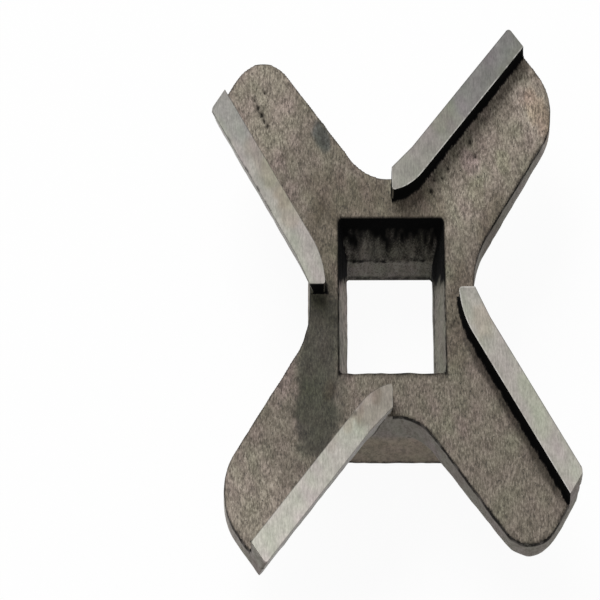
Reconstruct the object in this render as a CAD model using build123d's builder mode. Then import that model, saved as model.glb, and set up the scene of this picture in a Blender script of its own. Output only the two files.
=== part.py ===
# Four-armed knife of a meat grinder, cast in one piece.
#
# The knife stands on the back of its square hub, with its axis along +Z through the origin.
# Its arms leave the hub at the front face, and each carries a ground cutting ridge along its
# leading side. Seen from the front the knife turns anticlockwise, so the cutting edges lead.
# All lengths are in millimetres and all angles in degrees.

import os
from math import cos, radians, sin, sqrt

from build123d import *

# Hub: a square block with the drive hole through it
hub_side = 34.0
hub_height = 13.2
hub_corner_radius = 6.0
hub_back_rounding = 0.8

# Drive hole: a mouth that narrows from the front face, then a straight square socket
socket_side = 18.0
mouth_side = 22.0
mouth_depth = 7.8
hole_corner_radius = 0.6

# Arms: flat in front, and thinner towards the tip
arm_count = 4
tip_radius = 45.5
root_thickness = 5.4
rim_thickness = 3.4
flank_angle = 47.3
flank_offset = 8.9
notch_radius = 11.0
tip_corner_radius = 7.5
arm_back_rounding = 0.7

# Cutting ridge: a parallel bar on the front of its arm, curved at its inner end
ridge_height = 2.75
ridge_width = 4.2
ridge_overreach = 0.5
ridge_nose_radius = 0.8
ridge_corner_radius = 0.6
ridge_foot_radius = 0.5
cutting_angle = 40.3
cutting_offset = 12.4
bend_distance = 16.5
run_in_angle = 34.5
inner_end_offset = 0.2
inner_curve_angle = 9.5
inner_curve_height = 13.75
inner_curve_radius = 11.5
rake_angle = 17.0

# Places that follow from the sizes
hub_half = hub_side / 2
ridge_top = hub_height + ridge_height
arm_back = hub_height - root_thickness
rim_back = hub_height - rim_thickness
bore_radius = mouth_side / 2
ridge_reach = tip_radius + ridge_overreach
beyond = 2 * ridge_reach


def heading(angle):
    # Unit vector at an angle from the X axis
    return Vector(cos(radians(angle)), sin(radians(angle)))


def reaching(foot, angle, radius):
    # Point at a radius from the axis, on the line through its foot nearest to the axis
    return foot + heading(angle) * sqrt(radius**2 - foot.length**2)


def crossing(point, angle, other_point, other_angle):
    # Point where two lines meet, each given by one of its points and its angle
    along = heading(angle)
    across = heading(other_angle + 90)
    return point + along * ((other_point - point).dot(across) / along.dot(across))


def rake_plane(point, angle):
    # Plane through a cutting edge at the ridge's top, leaning back under the edge
    outward = heading(angle + 90) * cos(radians(rake_angle))
    normal = outward - Vector(0, 0, sin(radians(rake_angle)))
    return Plane(point + Vector(0, 0, ridge_top), x_dir=heading(angle), z_dir=normal)


# Cutting edge: a straight line that passes the axis at cutting_offset, bent near the hub
edge_foot = heading(cutting_angle + 90) * cutting_offset
edge_bend = edge_foot + heading(cutting_angle) * bend_distance
edge_tip = reaching(edge_foot, cutting_angle, ridge_reach)
edge_out = edge_tip + heading(cutting_angle) * beyond
edge_inner = crossing(edge_bend, run_in_angle, Vector(inner_end_offset, 0), 90)

# Trailing side of the ridge: parallel to the cutting edge, then curved towards the hub's middle
back_foot = edge_foot - heading(cutting_angle + 90) * ridge_width
back_tip = reaching(back_foot, cutting_angle, tip_radius)
back_out = back_tip + heading(cutting_angle) * beyond
inner_corner = Vector(inner_end_offset, inner_curve_height)
back_bend = crossing(inner_corner, inner_curve_angle, back_foot, cutting_angle)

# Trailing flank of the arm, from the hub's side to its tip
flank_foot = heading(flank_angle - 90) * flank_offset
flank_root = crossing(flank_foot, flank_angle, Vector(hub_half, 0), 90)
flank_tip = reaching(flank_foot, flank_angle, tip_radius)
flank_out = flank_foot + heading(flank_angle) * beyond

# Ridge as cast, longer than it ends up: cutting edge outside, parallel back, curved inner end
with BuildSketch(Plane.XY.offset(hub_height)) as ridge_bar:
    with BuildLine():
        Polyline(edge_inner, edge_bend, edge_out, back_out, back_bend, inner_corner, edge_inner)
    make_face()
    Circle(beyond, mode=Mode.INTERSECT)
    fillet(ridge_bar.vertices().sort_by_distance(back_bend)[0], radius=inner_curve_radius)
    fillet(ridge_bar.vertices().sort_by_distance(inner_corner)[0], radius=ridge_corner_radius)

# Arm outline: over the hub, then notch, flank, rounded tip, and the ridge's end and leading side
with BuildSketch(Plane.XY.offset(hub_height)) as arm_outline:
    with BuildLine():
        Polyline(
            (-ridge_width, 0),
            (hub_half, 0),
            flank_root,
            flank_out,
            edge_out,
            edge_bend,
            edge_inner,
            (-ridge_width, hub_half),
            (-ridge_width, 0),
        )
    make_face()
    Circle(tip_radius, mode=Mode.INTERSECT)
    fillet(arm_outline.vertices().sort_by_distance(flank_root)[0], radius=notch_radius)
    fillet(arm_outline.vertices().sort_by_distance(flank_tip)[0], radius=tip_corner_radius)
    with BuildLine():
        Polyline(edge_bend, edge_tip, back_tip, back_bend, edge_bend)
    make_face()
    fillet(arm_outline.vertices().sort_by_distance(edge_tip)[0], radius=ridge_nose_radius)

# Section of the disc that the arms are cut from: flat in front and a shallow cone behind
with BuildSketch(Plane.XZ) as disc_section:
    with BuildLine():
        Polyline(
            (bore_radius, hub_height),
            (beyond, hub_height),
            (beyond, rim_back),
            (ridge_reach, rim_back),
            (hub_half, arm_back),
            (bore_radius, arm_back),
            (bore_radius, hub_height),
        )
    make_face()

# What the rake takes off the leading side: the space outside both stretches of the edge
with BuildPart() as rake_cut:
    with BuildSketch(rake_plane(edge_bend, cutting_angle)):
        Rectangle(2 * beyond, 2 * beyond)
    extrude(amount=beyond)
    with BuildSketch(rake_plane(edge_bend, run_in_angle)):
        Rectangle(2 * beyond, 2 * beyond)
    extrude(amount=beyond, mode=Mode.INTERSECT)

# One arm: a disc with the ridge on it, cut to the arm's outline and raked along its leading side
with BuildPart() as arm:
    revolve(disc_section.sketch, axis=Axis.Z)
    extrude(ridge_bar.sketch, amount=ridge_height)
    ridge_walls = arm.faces().group_by(Axis.Z)[-2]
    fillet(ridge_walls.edges().group_by(Axis.Z)[0], radius=ridge_foot_radius)
    extrude(arm_outline.sketch, amount=beyond, both=True, mode=Mode.INTERSECT)
    add(rake_cut.part, mode=Mode.SUBTRACT)
    underside_edges = arm.faces().filter_by(GeomType.CONE).edges().sort_by(Axis.Z)
    fillet(underside_edges[1:], radius=arm_back_rounding)

# The knife: hub, arms, and the drive hole through them
with BuildPart() as grinder_knife:
    with BuildSketch():
        RectangleRounded(hub_side, hub_side, hub_corner_radius)
    extrude(amount=hub_height)
    fillet(grinder_knife.faces().sort_by(Axis.Z)[0].edges(), radius=hub_back_rounding)
    with PolarLocations(0, arm_count):
        add(arm.part)
    with BuildSketch(Plane.XY.offset(hub_height)):
        RectangleRounded(mouth_side, mouth_side, hole_corner_radius)
    with BuildSketch(Plane.XY.offset(hub_height - mouth_depth)):
        RectangleRounded(socket_side, socket_side, hole_corner_radius)
    loft(mode=Mode.SUBTRACT)
    with BuildSketch(Plane.XY.offset(hub_height - mouth_depth)):
        RectangleRounded(socket_side, socket_side, hole_corner_radius)
    extrude(amount=-hub_height, mode=Mode.SUBTRACT)

grinder_knife.part.label = "grinder_knife"
os.makedirs("parts", exist_ok=True)
export_step(grinder_knife.part, "parts/grinder_knife.step")
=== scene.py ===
from math import cos, pi, radians, sin, tan
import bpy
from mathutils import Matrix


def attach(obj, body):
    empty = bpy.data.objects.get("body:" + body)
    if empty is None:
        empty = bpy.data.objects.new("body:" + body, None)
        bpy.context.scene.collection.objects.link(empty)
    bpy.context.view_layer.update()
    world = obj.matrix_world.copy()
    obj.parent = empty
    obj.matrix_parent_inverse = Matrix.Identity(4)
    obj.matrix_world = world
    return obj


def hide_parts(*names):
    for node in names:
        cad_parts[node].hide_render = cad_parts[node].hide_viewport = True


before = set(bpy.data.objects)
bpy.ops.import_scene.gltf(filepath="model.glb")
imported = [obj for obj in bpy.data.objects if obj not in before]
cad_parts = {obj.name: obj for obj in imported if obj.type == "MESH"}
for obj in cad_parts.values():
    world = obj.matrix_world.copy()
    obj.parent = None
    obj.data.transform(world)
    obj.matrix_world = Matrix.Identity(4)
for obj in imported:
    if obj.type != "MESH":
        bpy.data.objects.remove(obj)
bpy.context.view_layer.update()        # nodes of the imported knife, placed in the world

from types import SimpleNamespace

import bmesh
import bpy
import numpy as np
from mathutils import Matrix, Vector

scene = bpy.context.scene
mm = 0.001
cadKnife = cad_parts["grinder_knife"]

# Sizes of the casting that its marks follow, in millimetres and degrees
casting = {
    "frontHeight": 13.2,     # arms' front face above the hub's back
    "ridgeTop": 15.95,
    "armBack": 7.8,          # arms' underside, where they meet the hub
    "socketTop": 5.4,        # where the hole's mouth begins
    "mouthHalf": 11.0,
    "cuttingAngle": 40.3,
    "cuttingOffset": 12.4,   # the cutting edge's line passes the axis at this distance
    "bendDistance": 16.5,    # along that line to its bend
    "runInAngle": 34.5,      # direction of the edge between the bend and the hub
    "rakeAngle": 17.0,       # lean of the ground face under the edge
    "ridgeWidth": 4.2,
    "ridgeEnd": (0.2, 13.75),    # inner corner of the ridge's trailing side
    "endAngle": 9.5,         # direction of the trailing side at that corner
    "curveRadius": 11.5,     # of the curve between the two stretches
}


# Camera: the image plane leans, which stretches the image upright. across and upright are its
# two directions, as long as one pixel of a 600 pixel wide image, and ahead runs to its middle
cameraLook = {
    "place": (-0.0565, -0.7115, 1.3714),
    "across": (0.9999, 0.0058, -0.0140),
    "upright": (-0.0281, 0.1712, 0.9848),
    "ahead": (180.77, 3430.03, -6553.72),
    "imageWidth": 600,
    "sensor": 36.0,
}


def placeCamera(look):
    ahead = Vector(look["ahead"])
    lens = bpy.data.cameras.new("camera")
    lens.sensor_width = look["sensor"]
    lens.lens = look["sensor"] * ahead.length / look["imageWidth"]
    camera = bpy.data.objects.new("camera", lens)
    rig = bpy.data.objects.new("cameraRig", None)
    for thing in (camera, rig):
        scene.collection.objects.link(thing)
    columns = [Vector(look["across"]), Vector(look["upright"]), -ahead.normalized()]
    leaning = Matrix(columns).transposed().to_4x4()
    leaning.translation = Vector(look["place"])
    camera.parent = rig
    camera.matrix_parent_inverse = leaning     # an object's own place can't hold the lean
    scene.camera = camera
    print("camera placed, lens", round(lens.lens, 1))


# Shader maths

class Wire:
    # One output socket, so that sums and products of wires read as maths
    def __init__(self, bench, socket):
        self.bench = bench
        self.socket = socket

    def __add__(self, other):
        return self.bench.maths("ADD", self, other)

    def __sub__(self, other):
        return self.bench.maths("SUBTRACT", self, other)

    def __rsub__(self, other):
        return self.bench.maths("SUBTRACT", other, self)

    def __mul__(self, other):
        return self.bench.maths("MULTIPLY", self, other)

    __radd__ = __add__
    __rmul__ = __mul__


class Bench:
    # The node tree of one material or world
    def __init__(self, owner):
        owner.use_nodes = True
        self.tree = owner.node_tree
        self.tree.nodes.clear()

    def add(self, kind, settings, inputs, out=0):
        node = self.tree.nodes.new(kind)
        for name, value in settings.items():
            setattr(node, name, value)
        for name, value in inputs.items():
            if isinstance(value, Wire):
                self.tree.links.new(value.socket, node.inputs[name])
            else:
                node.inputs[name].default_value = value
        return Wire(self, node.outputs[out]) if len(node.outputs) else node

    def maths(self, operation, first, second=0.0):
        return self.add("ShaderNodeMath", {"operation": operation}, {0: first, 1: second})

    def greatest(self, first, *others):
        for other in others:
            first = self.maths("MAXIMUM", first, other)
        return first

    def ramp(self, value, low, high, bottom=0.0, top=1.0):
        # Smooth step: bottom below low, top above high
        settings = {"interpolation_type": "SMOOTHSTEP"}
        inputs = {"Value": value, "From Min": low, "From Max": high, "To Min": bottom, "To Max": top}
        return self.add("ShaderNodeMapRange", settings, inputs)

    def blend(self, share, under, over):
        # Colour mix: the sockets are factor, A and B of the colour form
        under = under if isinstance(under, Wire) else (*under, 1.0)
        over = over if isinstance(over, Wire) else (*over, 1.0)
        return self.add("ShaderNodeMix", {"data_type": "RGBA"}, {0: share, 6: under, 7: over}, out=2)

    def scaled(self, vector, amount):
        # Place or colour times a number
        return self.add("ShaderNodeVectorMath", {"operation": "SCALE"}, {0: vector, "Scale": amount})

    def times(self, first, second):
        # Product of two places or colours, part by part
        return self.add("ShaderNodeVectorMath", {"operation": "MULTIPLY"}, {0: first, 1: second})

    def noise(self, place, scale, detail, roughness):
        inputs = {"Vector": place, "Scale": scale, "Detail": detail, "Roughness": roughness}
        return self.add("ShaderNodeTexNoise", {}, inputs)

    def attribute(self, name):
        return self.add("ShaderNodeAttribute", {"attribute_name": name}, {}, out="Fac")


# Finish of the casting. Colours are linear, places and lengths in millimetres
finishLook = {
    "cast": (0.190, 0.162, 0.126),
    "castPale": (0.315, 0.274, 0.222),
    "castDark": (0.105, 0.088, 0.066),
    "speck": (0.030, 0.026, 0.021),
    # Near black of black specks, soot and painted shade
    "soot": (0.006, 0.006, 0.006),
    "side": (0.265, 0.241, 0.213),
    "hubSide": (0.345, 0.288, 0.220),
    "raked": (0.430, 0.412, 0.382),
    "ground": (0.250, 0.238, 0.212),
    "bore": (0.330, 0.309, 0.270),
    # Painted highlight along the ridges' trailing top edges
    "glint": (0.560, 0.540, 0.510),
    # Scales of the noise patterns: a higher one is finer
    "mottleScale": 0.60,
    "patchScale": 1.1,
    "grainScale": 3.6,
    "speckScale": 2.2,
    "wallScale": 1.2,
    "cloudScale": 0.45,
    # Scales along X, Y and Z: a pattern is drawn out where they are low
    "grainStretch": (0.95, 0.48, 0.75),
    "strokeStretch": (2.6, 0.6, 1.0),
    "boreStretch": (1.5, 1.5, 0.45),
    # How much of each layer covers the one below it
    "paleGrain": 0.68,
    "darkGrain": 0.74,
    "patches": 0.28,
    "specks": 0.85,
    "wallMottle": 0.70,
    "boreStreaks": 0.40,
    "boreGrain": 0.60,
    # Share of the painted highlight along the ridges' trailing top edges
    "edgeGlint": 0.50,
    "cuttingLine": 0.55,
    "trailingLine": 0.50,
    "thinWallShade": 0.50,       # taken off the black painted shade, high on the walls of the dull half
    "thinHoleShade": 0.35,        # taken off the hole's thin painted shade, by pale grain
    "castMetal": 0.15,
    "groundMetal": 0.45,
    "castRoughness": 0.62,
    "groundRoughness": 0.40,
    "dirtAndShadeRoughness": 0.30,   # added where soot and painted shade lie
    "specular": 0.25,
    "grainHeight": 0.050,
    "scratchHeight": 0.003,
}

# Marks that the mesh carries: its regions, its soot and painted shade, and distances in plan from
# the cutting edge and from the ridge's trailing side
meshMarks = ("ground", "side", "undercut", "bore", "soot", "lead", "behind")


def surfaceWires(bench, look):
    # What the layers read: the mesh's marks, the place in millimetres, three noise patterns that
    # go from 0 to 1 about a middle of 0.5, and which half gets a painted highlight along its
    # ridges' trailing top edges. The strokes of the grinding wheel run along Y
    on = SimpleNamespace(**{name: bench.attribute(name) for name in meshMarks})
    on.place = bench.scaled(bench.add("ShaderNodeTexCoord", {}, {}, out="Object"), 1 / mm)
    on.x, on.y, on.z = (
        bench.add("ShaderNodeSeparateXYZ", {}, {0: on.place}, out=axis) for axis in "XYZ"
    )
    on.mottle = bench.noise(on.place, look["mottleScale"], 3.0, 0.6)
    on.grain = bench.noise(bench.times(on.place, look["grainStretch"]), look["grainScale"], 2.0, 0.7)
    on.strokes = bench.noise(bench.times(on.place, look["strokeStretch"]), 1.0, 3.0, 0.6)
    on.bright = bench.ramp(on.x, -2.0, 2.0)
    return on


def castSkin(bench, on, look):
    # Soft mottling, pale and dark grain, darker patches and a few black specks
    patches = bench.noise(on.place, look["patchScale"], 2.0, 0.6)
    specks = bench.noise(on.place, look["speckScale"], 1.0, 0.5)
    skin = bench.blend(bench.ramp(on.mottle, 0.30, 0.70), look["castDark"], look["cast"])
    skin = bench.blend(bench.ramp(on.grain, 0.49, 0.68) * look["paleGrain"], skin, look["castPale"])
    skin = bench.blend(bench.ramp(on.grain, 0.49, 0.31) * look["darkGrain"], skin, look["speck"])
    skin = bench.blend(bench.ramp(patches, 0.50, 0.68) * look["patches"], skin, look["castDark"])
    return bench.blend(bench.ramp(specks, 0.29, 0.24) * look["specks"], skin, look["soot"])


def sideSkin(bench, on, look):
    # Coarse mottling, paler on the arms and browner round the hub, and bare metal on the face
    # that leans back under each cutting edge
    armBack = casting["armBack"]
    coarse = bench.noise(on.place, look["wallScale"], 4.0, 0.80)
    walls = bench.blend(bench.ramp(on.z, armBack - 1.3, armBack + 0.7), look["hubSide"], look["side"])
    walls = bench.blend(bench.ramp(coarse, 0.36, 0.66) * look["wallMottle"], walls, look["castDark"])
    away = on.lead + (casting["ridgeTop"] - on.z) * tan(radians(casting["rakeAngle"]))
    raked = on.undercut * bench.ramp(bench.maths("ABSOLUTE", away), 0.40, 0.20)
    raked = raked * bench.ramp(on.behind, -0.2, -0.5) * bench.ramp(on.strokes, 0.30, 0.70, 0.6, 1.0)
    return bench.blend(raked, walls, look["raked"])


def boreSkin(bench, on, look):
    # Dark streaks along the hole's depth, and dark grain
    streaks = bench.noise(bench.times(on.place, look["boreStretch"]), 1.0, 3.0, 0.70)
    streaks = bench.ramp(streaks, 0.40, 0.62) * look["boreStreaks"]
    walls = bench.blend(streaks, look["bore"], look["castDark"])
    return bench.blend(bench.ramp(on.grain, 0.52, 0.34) * look["boreGrain"], walls, look["speck"])


def groundSkin(bench, on, look):
    # The ground tops' colour times clouds, strokes and grain, each a factor about 1
    clouds = bench.noise(on.place, look["cloudScale"], 3.0, 0.70)
    factor = bench.ramp(clouds, 0.32, 0.68, 0.90, 1.10) * bench.ramp(on.strokes, 0.25, 0.75, 0.86, 1.14)
    return bench.scaled(look["ground"], factor * bench.ramp(on.grain, 0.30, 0.70, 0.88, 1.12))


def edgeHighlight(bench, on, look):
    # Painted highlight along the ridges' trailing top edge, on the bright half of the knife
    edgeGlint = bench.ramp(on.mottle, 0.35, 0.60, 0.0, look["edgeGlint"])
    return on.bright * on.ground * bench.ramp(on.behind, -0.24, -0.12) * edgeGlint


def dirtAndShadeCover(bench, on, look):
    # What blackens the colour: painted shade, soot, a dark band above the hub's back, and nicks
    front = casting["frontHeight"]
    dull = 1.0 - on.bright
    # Painted shade: black on the ridges' trailing wall and as their shadow at its foot, with a
    # ragged border, and thinner high on the dull half's walls, away from the ridges' inner ends
    border = on.behind + (on.grain - 0.5) * 0.45 + (on.mottle - 0.5) * 0.8
    scale = bench.ramp(on.behind, -0.12, -0.05) * bench.ramp(border, 0.60, 0.20)
    scale = scale * bench.ramp(on.z, front - 0.15, front - 0.05) * (1.0 - on.ground)
    high = bench.ramp(on.z + (on.mottle - 0.5) * 3.0, front + 0.3, front + 2.2)
    outer = bench.ramp(bench.maths("ABSOLUTE", on.x * on.y), 20.0, 70.0)
    scale = scale * (1.0 - high * dull * outer * look["thinWallShade"])
    # A painted shade line along the top of the side walls, and a dark band above the hub's back
    rim = bench.ramp(on.z, front - 0.95, front - 0.55) * bench.ramp(on.z, front + 0.3, front + 0.1)
    rim = rim * on.side * bench.ramp(on.behind, 0.0, 0.3) * bench.ramp(on.mottle, 0.30, 0.55, 0.55, 0.90)
    foot = bench.ramp(on.z, 0.05, 0.40) * bench.ramp(on.z, 1.7, 0.7)
    foot = foot * bench.ramp(on.mottle, 0.30, 0.60, 0.35, 0.85)
    # Painted shade lines along the ground tops' cutting edge and, on the dull half, their trailing edge
    cutting = bench.ramp(on.lead, -0.20, -0.02) * look["cuttingLine"]
    trailing = dull * bench.ramp(on.behind, -0.16, -0.04) * look["trailingLine"]
    lines = on.ground * bench.greatest(cutting, trailing)
    # Soot and painted shade, through which pale grain shows in the hole where they are thin
    showing = bench.ramp(on.grain, 0.48, 0.66) * bench.ramp(on.soot, 1.0, 0.75) * look["thinHoleShade"]
    soot = on.soot * (1.0 - on.bore * showing)
    return bench.greatest(scale, soot, rim, foot, lines)


def makeFinish(look):
    material = bpy.data.materials.new("castSteel")
    bench = Bench(material)
    on = surfaceWires(bench, look)
    colour = bench.blend(on.side, castSkin(bench, on, look), sideSkin(bench, on, look))
    colour = bench.blend(on.bore, colour, boreSkin(bench, on, look))
    colour = bench.blend(on.ground, colour, groundSkin(bench, on, look))
    tint = bench.add("ShaderNodeAttribute", {"attribute_name": "tint"}, {}, out="Vector")
    colour = bench.blend(edgeHighlight(bench, on, look), bench.times(colour, tint), look["glint"])
    # Painted shade, soot and nicks blacken the colour
    dirtAndShade = dirtAndShadeCover(bench, on, look)
    colour = bench.blend(dirtAndShade, colour, look["soot"])

    cast = 1.0 - on.ground
    metal = look["castMetal"] + on.ground * (look["groundMetal"] - look["castMetal"])
    matt = bench.greatest(cast, dirtAndShade) * (look["castRoughness"] - look["groundRoughness"])
    relief = (on.grain - 0.5) * look["grainHeight"] * cast
    relief = relief + (on.strokes - 0.5) * on.ground * look["scratchHeight"]
    bump = bench.add("ShaderNodeBump", {}, {"Height": relief * mm, "Strength": 1.0, "Distance": 1.0})
    shader = bench.add("ShaderNodeBsdfPrincipled", {}, {
        "Base Color": colour,
        "Metallic": bench.greatest(metal, dirtAndShade),
        "Roughness": look["groundRoughness"] + matt + dirtAndShade * look["dirtAndShadeRoughness"],
        "Specular IOR Level": look["specular"],
        "Normal": bump,
    })
    bench.add("ShaderNodeOutputMaterial", {}, {"Surface": shader})
    print("finish made:", len(bench.tree.nodes), "nodes")
    return material


# Knife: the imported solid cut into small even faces, its edges softened and its cast skin uneven
knifeLook = {
    "gridDepth": 8,          # the remesh grid has 2 to this power cells a side
    "gridShare": 0.86,       # of which the knife fills this share
    "rounds": 3,             # of softening, each by a share of the way to the neighbours' middle
    "softening": 0.40,
    "holeSoftening": 0.15,
    "creaseRounds": 8,       # of softening that find the edges
    "creaseShift": 0.16,     # shift in them that counts as a full edge
    "sharpAngle": 40,        # edges sharper than this show as sharp
    "waveCount": 26,
    "seed": 7,
    # Unevenness of the cast skin: height, longest and shortest wave
    "waves": ((0.030, 7.0, 3.0), (0.014, 2.6, 1.3)),
    # Longest and shortest wave of the marks' ragged rims, the patches of hue and the runs in the
    # hole's painted shade
    "raggedWaves": (5.0, 1.2),
    "hueWaves": (9.0, 2.5),
    "runWaves": (4.0, 0.9),
    "runStretch": (1, 1, 0.22),
    # Pits in the front of the arms: x, y and radius
    "pits": (
        (-28.7, 28.7, 0.28), (-28.0, 27.5, 0.40), (-27.2, 26.4, 0.45), (-26.7, 25.5, 0.35),
        (-26.6, 29.8, 0.30), (-25.9, 24.8, 0.30), (8.5, 15.1, 0.38), (9.2, 16.8, 0.26),
        (10.9, 17.0, 0.28), (12.2, 18.3, 0.26), (17.0, 22.3, 0.38), (18.0, 20.2, 0.34),
    ),
    "pitDepth": 0.22,
    "hueShift": 0.012,       # strength of the patches of faint violet and green
    # Tints: what each multiplies the colour by
    "tints": {
        "pale": (1.42, 1.42, 1.46),
        "dark": (0.76, 0.74, 0.70),
        "stain": (0.31, 0.33, 0.31),
        "blue": (0.40, 0.47, 0.52),
        "green": (0.93, 1.00, 0.90),
        "violet": (1.05, 0.98, 1.06),
        "rust": (1.03, 0.95, 0.88),
        "steel": (0.84, 0.92, 1.00),
        "shade": (0.40, 0.38, 0.36),
    },
    # Spots on the cast skin: from and to x and y, radius, and a tint's name or its numbers
    "spots": (
        (14.0, 15.0, 26.0, 26.0, 6.0, "pale"), (-32.0, 32.0, -27.0, 27.0, 7.5, "pale"),
        (30.0, 30.0, 35.0, 24.0, 3.5, "pale"), (-35.0, -26.0, -28.0, -29.0, 6.5, "pale"),
        (36.6, 25.5, 38.8, 20.5, 1.4, "steel"), (15.2, -6.3, 32.6, -26.8, 0.9, "shade"),
        (-14.0, 14.5, 8.0, 12.5, 3.5, "dark"), (-14.5, 0.0, -14.0, 10.0, 3.5, "dark"),
        (13.0, -8.0, 14.5, 2.0, 2.5, "dark"), (22.0, 13.0, 20.0, 9.0, 2.0, "dark"),
        (-14.8, -3.0, -15.5, -18.5, 4.6, "stain"), (-15.0, 23.8, -13.9, 22.4, 1.5, "blue"),
        (-16.5, -14.0, -17.0, -15.5, 2.5, "green"), (-13.0, -13.2, -13.4, -13.6, 1.2, "rust"),
        (18.0, 15.5, 18.5, 13.5, 1.6, "green"), (23.5, 20.0, 24.0, 19.0, 1.4, "green"),
        (16.0, 20.0, 17.5, 19.0, 1.6, "violet"), (30.0, 28.5, 33.0, 25.0, 1.8, "rust"),
        (-24.0, 18.0, -22.0, 15.0, 2.0, "violet"), (-21.0, -9.0, -24.0, -14.0, 1.8, "violet"),
    ),
    # Ground tops: a painted highlight makes them paler towards this direction, by this share
    # per millimetre
    "shineTowards": (-0.50, -0.87),
    "shineSlope": 0.0117,
    # Spots on the ground tops, as above
    "groundSpots": (
        (16.0, 27.5, 24.0, 36.0, 3.0, (0.96, 0.98, 1.03)),
        (24.0, 35.0, 30.0, 40.0, 3.0, (1.16, 1.16, 1.18)),
        (-1.0, -14.5, -5.0, -17.0, 3.2, (0.70, 0.66, 0.63)),
        (10.0, 24.0, 12.0, 26.0, 1.8, (0.98, 1.01, 0.94)),
        (-26.0, 17.5, -25.0, 15.5, 1.3, (1.00, 1.02, 0.93)),
        (-23.0, 13.0, -21.0, 10.0, 1.8, (0.98, 0.94, 0.88)),
        (-29.3, 20.3, -22.3, 12.2, 1.5, (0.85, 0.82, 0.78)),
        (-36.5, 27.0, -32.0, 23.0, 2.4, (0.84, 0.86, 0.88)),
        (18.0, -4.5, 19.0, -6.0, 1.8, (1.02, 0.98, 0.92)),
        (17.0, -5.0, 37.0, -28.5, 4.0, (1.17, 1.16, 1.16)),
        (27.0, -14.0, 30.5, -20.0, 1.6, (0.98, 1.02, 0.96)),
        (-3.2, -15.2, -3.6, -16.0, 0.9, (0.82, 0.78, 0.74)),
        (-5.4, -15.6, -5.8, -16.4, 0.7, (1.16, 1.16, 1.14)),
        (-6.8, -17.6, -7.4, -18.2, 0.9, (0.86, 0.82, 0.78)),
        (-9.0, -18.6, -9.6, -19.6, 1.0, (0.90, 0.87, 0.82)),
        (-12.0, -20.5, -13.0, -22.0, 1.2, (0.88, 0.87, 0.84)),
    ),
    # Nicks in an edge and marks on a ridge: from and to x and y, radius and blackness
    "nicks": (
        (-34.4, 21.5, -33.9, 20.9, 0.10, 0.6), (-30.6, 17.0, -30.2, 16.5, 0.12, 0.8),
        (-29.7, 15.9, -29.4, 15.6, 0.10, 0.6), (-28.2, 14.1, -27.8, 13.7, 0.12, 0.8),
        (-26.6, 12.2, -26.3, 11.9, 0.10, 0.6), (-25.9, 11.4, -25.4, 10.8, 0.12, 0.7),
        (-9.9, -17.5, -7.6, -17.9, 0.10, 0.55), (-8.7, -18.0, -9.1, -18.5, 0.10, 0.45),
        (12.0, -4.6, 13.3, -3.2, 0.08, 0.60), (12.9, -4.4, 13.8, -3.9, 0.08, 0.45),
    ),
    "nickRim": 0.25,         # from full to gone, outside a nick's radius
    # Dirt and painted shade in hollow corners
    "cornerDirtAndShade": 0.80,
    # Darkness in pits
    "pitDarkness": 0.95,
    # Hole: how black the painted shade on its far wall is in the socket and where the mouth begins,
    # the height above the socket where it gets full, and the lean of the painted shade's border on
    # the side walls
    "hole": {
        "socketShade": 0.06,
        "mouthShade": 0.50,
        "full": 5.0,
        "borderLean": 0.5,
        "runs": 0.09,        # how much the runs change the far wall's painted shade
        # Paler runs: x, width and painted shade taken off, below 0 where it is added
        "paleRuns": ((-5.2, 1.0, 0.35), (4.4, 0.8, 0.25), (-1.0, 0.5, -0.20)),
        # Painted light on the hole's left side wall, painted shade on its right side wall
        "leftWallLight": (1.95, 1.85, 1.85),
        "rightWallShade": (0.66, 0.66, 0.62),
    },
}


def armPlace(x, y):
    # Turns each quarter of the knife onto the first: u and v are x and y as seen by its own arm
    same = x * y > 0         # first and third quarters
    return np.where(same, abs(x), abs(y)), np.where(same, abs(y), abs(x))


def aheadOfEdge(u, v):
    # Distance in plan ahead of the cutting edge, below 0 on the ridge: the lesser of the
    # distances to the lines of its two stretches
    turn, runIn = radians(casting["cuttingAngle"]), radians(casting["runInAngle"])
    bendU = casting["bendDistance"] * cos(turn) - casting["cuttingOffset"] * sin(turn)
    bendV = casting["bendDistance"] * sin(turn) + casting["cuttingOffset"] * cos(turn)
    outer = v * cos(turn) - u * sin(turn) - casting["cuttingOffset"]
    inner = (v - bendV) * cos(runIn) - (u - bendU) * sin(runIn)
    return np.minimum(outer, inner)


def behindRidge(u, v):
    # Distance in plan behind the ridge's trailing side: below 0 on the ridge itself. The side is
    # a straight line, a curve tangent to it, a line to the inner corner, and the ridge's end
    turn, endTurn = radians(casting["cuttingAngle"]), radians(casting["endAngle"])
    endX, endY = casting["ridgeEnd"]
    size = casting["curveRadius"]
    straight = u * sin(turn) - v * cos(turn) + casting["cuttingOffset"] - casting["ridgeWidth"]
    inner = (u - endX) * sin(endTurn) - (v - endY) * cos(endTurn)
    # Middle of the curve: size inside both lines
    lines = np.array([[sin(turn), -cos(turn)], [sin(endTurn), -cos(endTurn)]])
    straightOffset = casting["ridgeWidth"] - casting["cuttingOffset"] - size
    innerOffset = endX * sin(endTurn) - endY * cos(endTurn) - size
    middleU, middleV = np.linalg.solve(lines, [straightOffset, innerOffset])
    bearing = np.arctan2(v - middleV, u - middleU)
    onCurve = (bearing > endTurn - pi / 2) & (bearing < turn - pi / 2)
    curve = np.hypot(u - middleU, v - middleV) - size
    return np.maximum(np.where(onCurve, curve, np.maximum(straight, inner)), endX - u)


def waveSum(points, count, longest, shortest, rng):
    # Smooth unevenness of about unit height: plane waves in random directions, added up
    direction = rng.normal(size=(3, count))
    direction /= np.linalg.norm(direction, axis=0)
    length = shortest * (longest / shortest) ** rng.random(count)
    turns = points @ (direction * 2 * pi / length) + rng.random(count) * 2 * pi
    return np.sin(turns).sum(axis=1) * (2 / count) ** 0.5


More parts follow.
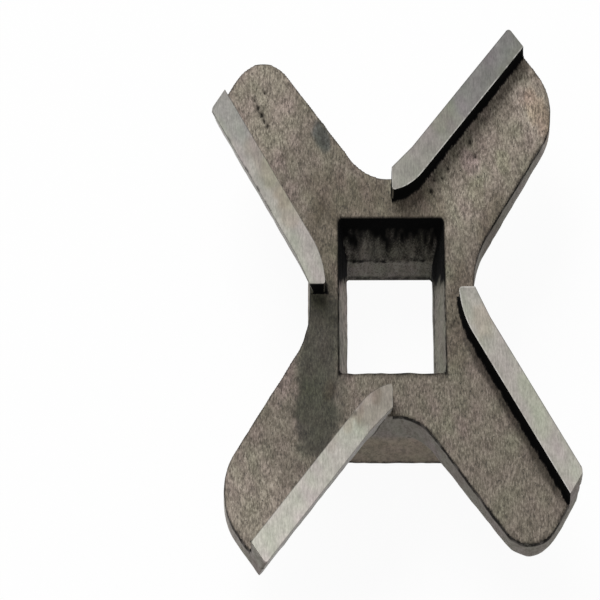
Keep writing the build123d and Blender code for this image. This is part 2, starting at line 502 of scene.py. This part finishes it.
def remeshed(source, look):
    # Dual contouring of the solid: even four-sided faces that keep every sharp edge
    mesh = source.data.copy()
    loose = bmesh.new()
    loose.from_mesh(mesh)
    bmesh.ops.remove_doubles(loose, verts=loose.verts, dist=0.002 * mm)
    loose.to_mesh(mesh)
    loose.free()
    draft = bpy.data.objects.new("draft", mesh)
    scene.collection.objects.link(draft)
    grid = draft.modifiers.new("grid", "REMESH")
    grid.mode = "SHARP"
    grid.octree_depth = look["gridDepth"]
    grid.scale = look["gridShare"]
    grid.use_remove_disconnected = False
    ready = draft.evaluated_get(bpy.context.evaluated_depsgraph_get())
    result = bpy.data.meshes.new_from_object(ready)
    bpy.data.objects.remove(draft)
    return result


def faceFrame(points, corners):
    # Middle and unit normal of each four-sided face, from its diagonals
    ring = points[corners]
    normal = np.cross(ring[:, 2] - ring[:, 0], ring[:, 3] - ring[:, 1])
    normal /= np.linalg.norm(normal, axis=1)[:, None]
    return ring.mean(axis=1), normal


def pointNormals(faceNormals, corners, count):
    # Unit mean of the normals of the faces round each point
    total = np.zeros((count, 3))
    for corner in corners.T:
        np.add.at(total, corner, faceNormals)
    return total / np.linalg.norm(total, axis=1)[:, None]


def middleOfNeighbours(values, links):
    # Mean of a value over the points that share an edge with each point
    total = np.zeros(values.shape)
    number = np.zeros(len(values))
    for here, there in (links.T, links.T[::-1]):
        np.add.at(total, here, values[there])
        np.add.at(number, here, 1)
    return total / number.reshape(-1, *[1] * (values.ndim - 1))


def softened(points, links, share, rounds):
    # Each round moves every point by its share towards the middle of its neighbours
    for _ in range(rounds):
        points = points + share[:, None] * (middleOfNeighbours(points, links) - points)
    return points


def ramped(value, low, high):
    # Smooth step from 0 at low to 1 at high
    share = np.clip((value - low) / (high - low), 0, 1)
    return share * share * (3 - 2 * share)


def distanceToLine(x, y, fromX, fromY, toX, toY):
    # Distance in plan to the straight line between two places
    lineX, lineY = toX - fromX, toY - fromY
    along = np.clip(((x - fromX) * lineX + (y - fromY) * lineY) / (lineX**2 + lineY**2), 0, 1)
    return np.hypot(x - fromX - along * lineX, y - fromY - along * lineY)


def spotTint(points, spots, tints, ragged):
    # Product of the spots' tints, each full inside 0.6 of its radius and gone at 1.4
    total = np.ones((len(points), 3))
    for *line, radius, tint in spots:
        away = distanceToLine(points[:, 0], points[:, 1], *line) / radius + 0.12 * ragged
        share = 1 - ramped(away, 0.6, 1.4)
        total *= 1 + share[:, None] * (np.array(tints.get(tint, tint)) - 1)
    return total


def farthest(x, y):
    # The greater of the distances from the axis along X and along Y
    return np.maximum(abs(x), abs(y))


def insideHole(x, y):
    return farthest(x, y) < casting["mouthHalf"] + 0.05


def nearHole(x, y):
    # 1 in the hole and at its rim, gone a little farther out
    return ramped(farthest(x, y), casting["mouthHalf"] + 1.5, casting["mouthHalf"] + 0.5)


def readMesh(mesh):
    # Points in millimetres, the two points of each edge and the four of each face
    points = np.zeros(len(mesh.vertices) * 3)
    mesh.vertices.foreach_get("co", points)
    links = np.zeros(len(mesh.edges) * 2, int)
    mesh.edges.foreach_get("vertices", links)
    corners = np.zeros(len(mesh.loops), int)
    mesh.loops.foreach_get("vertex_index", corners)
    return points.reshape(-1, 3) / mm, links.reshape(-1, 2), corners.reshape(-1, 4)


def faceRegions(points, corners):
    # Which faces are ground, in the hole, on a side wall, and on one that looks downwards
    middle, normal = faceFrame(points, corners)
    steep = abs(normal[:, 2]) < 0.6
    inHole = farthest(middle[:, 0], middle[:, 1]) < casting["mouthHalf"] + 0.1
    ground = (middle[:, 2] > casting["ridgeTop"] - 0.15) & (normal[:, 2] > 0.8)
    side = steep & ~inHole
    undercut = side & (normal[:, 2] < -0.15)
    return {"ground": ground, "bore": steep & inHole, "side": side, "undercut": undercut}


def creases(points, links, corners, look):
    # Up to 1 where an edge stands out and down to -1 in a hollow corner: how far softening
    # would move each point inwards
    outward = pointNormals(faceFrame(points, corners)[1], corners, len(points))
    half = np.full(len(points), 0.5)
    shift = points - softened(points, links, half, look["creaseRounds"])
    return np.clip((shift * outward).sum(axis=1) / look["creaseShift"], -1, 1)


def edgesSoftened(points, links, lead, behind, look):
    # Cast edges soften, the hole's less, and the ground ridges stay sharp
    x, y, z = points.T
    front = casting["frontHeight"]
    share = look["softening"] + (look["holeSoftening"] - look["softening"]) * nearHole(x, y)
    onRidge = (z > front + 0.1) & (behind < 0.6) & (lead > -6)
    share *= 1 - np.maximum(onRidge, ramped(z, front + 0.1, front + 0.6))
    return softened(points, links, share, look["rounds"])


def pitShares(x, y, z, pits):
    # Each pit is a bell in plan, and only the front face has them
    share = np.zeros(len(x))
    for pitX, pitY, radius in pits:
        share = np.maximum(share, np.exp(-(np.hypot(x - pitX, y - pitY) / radius) ** 2))
    return share * ramped(abs(z - casting["frontHeight"]), 0.4, 0.1)


def skinTint(place, points, ragged, hue, look):
    # What the colour is multiplied by: spots, patches of green and violet, the tops' painted
    # highlight, and painted light and shade on the hole's side walls. place is where the points were
    # before the edges were softened
    x, y, z = place
    top = casting["ridgeTop"]
    shift = np.stack([1 + hue, 1 - hue, 1 + hue], axis=1)
    tint = shift * spotTint(points, look["spots"], look["tints"], ragged)
    # Painted highlight: the ground tops get paler towards one side
    towardsX, towardsY = look["shineTowards"]
    shine = 1 + look["shineSlope"] * (x * towardsX + y * towardsY)
    shine = shine[:, None] * shift * spotTint(points, look["groundSpots"], look["tints"], ragged)
    tint = tint + ramped(z, top - 0.4, top - 0.2)[:, None] * (shine - tint)

    hole = look["hole"]
    # Painted light brightens the hole's left side wall and painted shade darkens its right one
    onSide = insideHole(x, y) & (abs(x) > abs(y)) & (z < casting["frontHeight"] - 0.4)
    holeSideLightAndShade = np.where(x[:, None] < 0, hole["leftWallLight"], hole["rightWallShade"])
    return np.where(onSide[:, None], tint * holeSideLightAndShade, tint)


def skinSootAndShade(place, crease, pit, ragged, look):
    # Painted shade along the arms' front edges and round the hole's rim, dirt and painted shade in
    # hollow corners, darker pits, and black nicks
    x, y, z = place
    front, top = casting["frontHeight"], casting["ridgeTop"]
    # Dirt and painted shade in hollow corners
    corner = ramped(crease, -0.2, -0.7) * look["cornerDirtAndShade"] * (z < front - 0.5)
    # Painted shade line along the arms' front edges
    frontEdge = ramped(crease, 0.35, 0.75) * ramped(abs(z - front), 0.9, 0.3)
    frontEdge = frontEdge * np.clip(0.60 + 0.20 * nearHole(x, y) + 0.12 * ragged, 0, 1)
    # Painted shade along the hole's rim, wider on its near side
    mouth = casting["mouthHalf"]
    wider = 0.18 * (y < 0.2 - mouth)    # of the rim, on the near side
    holeRim = ramped(farthest(x, abs(y) - wider), mouth + 0.45, mouth + 0.15) * (z > front - 0.4)
    holeRim = holeRim * np.clip(0.65 + 0.25 * ragged, 0, 1)
    nick = np.zeros(len(x))
    for *line, radius, deep in look["nicks"]:
        away = distanceToLine(x, y, *line)
        nick = np.maximum(nick, deep * ramped(away, radius + look["nickRim"], radius))
    nick = nick * ((z > top - 0.5) | (abs(z - front) < 0.3))
    # Darker in pits
    inPit = np.clip(1.3 * pit, 0, look["pitDarkness"])
    return np.maximum.reduce([corner, frontEdge, holeRim, inPit, nick])


def holeShadeAndLine(place, ragged, runs, hole):
    # Painted shadow: the far wall gets blacker upwards in runs and the side walls are black beyond a
    # leaning border. A dark line marks where the mouth begins
    x, y, z = place
    up = z - casting["socketTop"]
    rise = hole["mouthShade"] - hole["socketShade"]
    farWall = hole["socketShade"] + rise * ramped(up, 0, 0.4) + hole["runs"] * runs
    farWall = farWall + (1 - hole["mouthShade"]) * ramped(up + 0.5 * runs, 0.5, hole["full"])
    for runX, width, less in hole["paleRuns"]:
        farWall = farWall - less * np.exp(-((x - runX) / width) ** 2) * ramped(up, 7.0, 3.5)
    farWall = np.maximum(farWall, ramped(up + 0.3 * runs, 4.2, 5.8)) * (y > abs(x) - 0.2)
    border = y - hole["borderLean"] * (casting["frontHeight"] - z) + 0.3 * ragged
    sideWall = ramped(border, 0.8, 2.6) * (abs(x) > abs(y))
    line = ramped(abs(up - 0.1 + 0.14 * ragged), 0.60, 0.22) * np.clip(0.80 + 0.25 * ragged, 0, 1)
    return insideHole(x, y) * np.clip(np.maximum.reduce([farWall, sideWall, line]), 0, 1)


def makeKnife(look):
    mesh = remeshed(cadKnife, look)
    points, links, corners = readMesh(mesh)
    regions = faceRegions(points, corners)
    crease = creases(points, links, corners, look)
    place = points.T         # marks follow the places before softening
    x, y, z = place
    u, v = armPlace(x, y)
    lead, behind = aheadOfEdge(u, v), behindRidge(u, v)
    points = edgesSoftened(points, links, lead, behind, look)

    # Random waves: the unevenness, ragged rims, patches of hue, and runs drawn down the hole's
    # painted shade
    rng = np.random.default_rng(look["seed"])
    count = look["waveCount"]
    height = sum(
        size * waveSum(points, count, longest, shortest, rng)
        for size, longest, shortest in look["waves"]
    )
    ragged = waveSum(points, count, *look["raggedWaves"], rng)
    hue = look["hueShift"] * waveSum(points, count, *look["hueWaves"], rng)
    runs = waveSum(points * look["runStretch"], count, *look["runWaves"], rng)

    # The skin moves along its normals, but not the ground tops or the hub's back
    pit = pitShares(x, y, z, look["pits"])
    top = casting["ridgeTop"]
    cast = ramped(points[:, 2], top - 0.1, top - 0.5) * ramped(points[:, 2], 0, 0.5)
    outward = pointNormals(faceFrame(points, corners)[1], corners, len(points))
    moved = points + outward * (cast * height - look["pitDepth"] * pit)[:, None]
    mesh.vertices.foreach_set("co", (moved * mm).ravel())

    tint = skinTint(place, points, ragged, hue, look)
    soot = skinSootAndShade(place, crease, pit, ragged, look)
    soot = np.maximum(soot, holeShadeAndLine(place, ragged, runs, look["hole"]))
    for name, value in {"soot": soot, "lead": lead, "behind": behind}.items():
        mesh.attributes.new(name, "FLOAT", "POINT").data.foreach_set("value", value)
    mesh.attributes.new("tint", "FLOAT_VECTOR", "POINT").data.foreach_set("vector", tint.ravel())
    for name, value in regions.items():
        spread = np.repeat(value.astype(float), 4)
        mesh.attributes.new(name, "FLOAT", "CORNER").data.foreach_set("value", spread)
    mesh.polygons.foreach_set("use_smooth", np.ones(len(mesh.polygons), bool))
    mesh.set_sharp_from_angle(angle=radians(look["sharpAngle"]))
    mesh.update()
    mesh.materials.clear()
    mesh.materials.append(makeFinish(finishLook))
    knife = bpy.data.objects.new("knifeCasting", mesh)
    scene.collection.objects.link(knife)
    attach(knife, "root")
    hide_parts("grinder_knife")
    print("knife made:", len(points), "points,", 2 * len(mesh.polygons), "triangles")


# Studio: pale floor, pale surroundings and one soft lamp behind and above
studioLook = {
    "floorSide": 8.0,
    "floorColour": (0.90, 0.90, 0.90),
    "floorDrop": 0.0001,
    "paleShare": 0.95,       # how much of the floor is plain white to the camera and in reflections
    "lampPlace": (-0.71, 1.23, 1.11),
    "lampSize": 1.20,
    "lampPower": 36.0,
    "skyColour": (1.0, 1.0, 1.0),
    "skyLight": 0.33,
}


def seenDirectly(bench):
    # 1 for camera rays and for what gloss and glass show, else 0
    kinds = bench.add("ShaderNodeLightPath", {}, {}).socket.node.outputs
    camera, glossy, through = (
        Wire(bench, kinds[name]) for name in ("Is Camera Ray", "Is Glossy Ray", "Is Transmission Ray")
    )
    return bench.maths("MINIMUM", camera + glossy + through, 1.0)


def makeFloor(look):
    material = bpy.data.materials.new("paleFloor")
    bench = Bench(material)
    matt = bench.add("ShaderNodeBsdfDiffuse", {}, {"Color": (*look["floorColour"], 1)})
    white = bench.add("ShaderNodeEmission", {}, {"Color": (1, 1, 1, 1), "Strength": 1.0})
    share = seenDirectly(bench) * look["paleShare"]
    mixed = bench.add("ShaderNodeMixShader", {}, {0: share, 1: matt, 2: white})
    bench.add("ShaderNodeOutputMaterial", {}, {"Surface": mixed})
    half = look["floorSide"] / 2
    rim = [(-half, -half), (half, -half), (half, half), (-half, half)]
    mesh = bpy.data.meshes.new("floor")
    mesh.from_pydata([(x, y, -look["floorDrop"]) for x, y in rim], [], [(0, 1, 2, 3)])
    mesh.materials.append(material)
    floor = bpy.data.objects.new("floor", mesh)
    scene.collection.objects.link(floor)


def makeSky(look):
    world = bpy.data.worlds.new("studio")
    bench = Bench(world)
    strength = look["skyLight"] + seenDirectly(bench) * (1 - look["skyLight"])
    sky = bench.add("ShaderNodeBackground", {}, {"Color": (*look["skyColour"], 1), "Strength": strength})
    bench.add("ShaderNodeOutputWorld", {}, {"Surface": sky})
    scene.world = world


def makeLamp(look):
    light = bpy.data.lights.new("softLamp", "AREA")
    light.size = look["lampSize"]
    light.energy = look["lampPower"]
    lamp = bpy.data.objects.new("softLamp", light)
    lamp.location = look["lampPlace"]
    lamp.rotation_mode = "QUATERNION"
    lamp.rotation_quaternion = (-lamp.location).to_track_quat("-Z", "Y")
    lamp.visible_camera = False
    scene.collection.objects.link(lamp)


placeCamera(cameraLook)
makeKnife(knifeLook)
makeFloor(studioLook)
makeSky(studioLook)
makeLamp(studioLook)
scene.view_settings.view_transform = "Standard"
print("studio made")
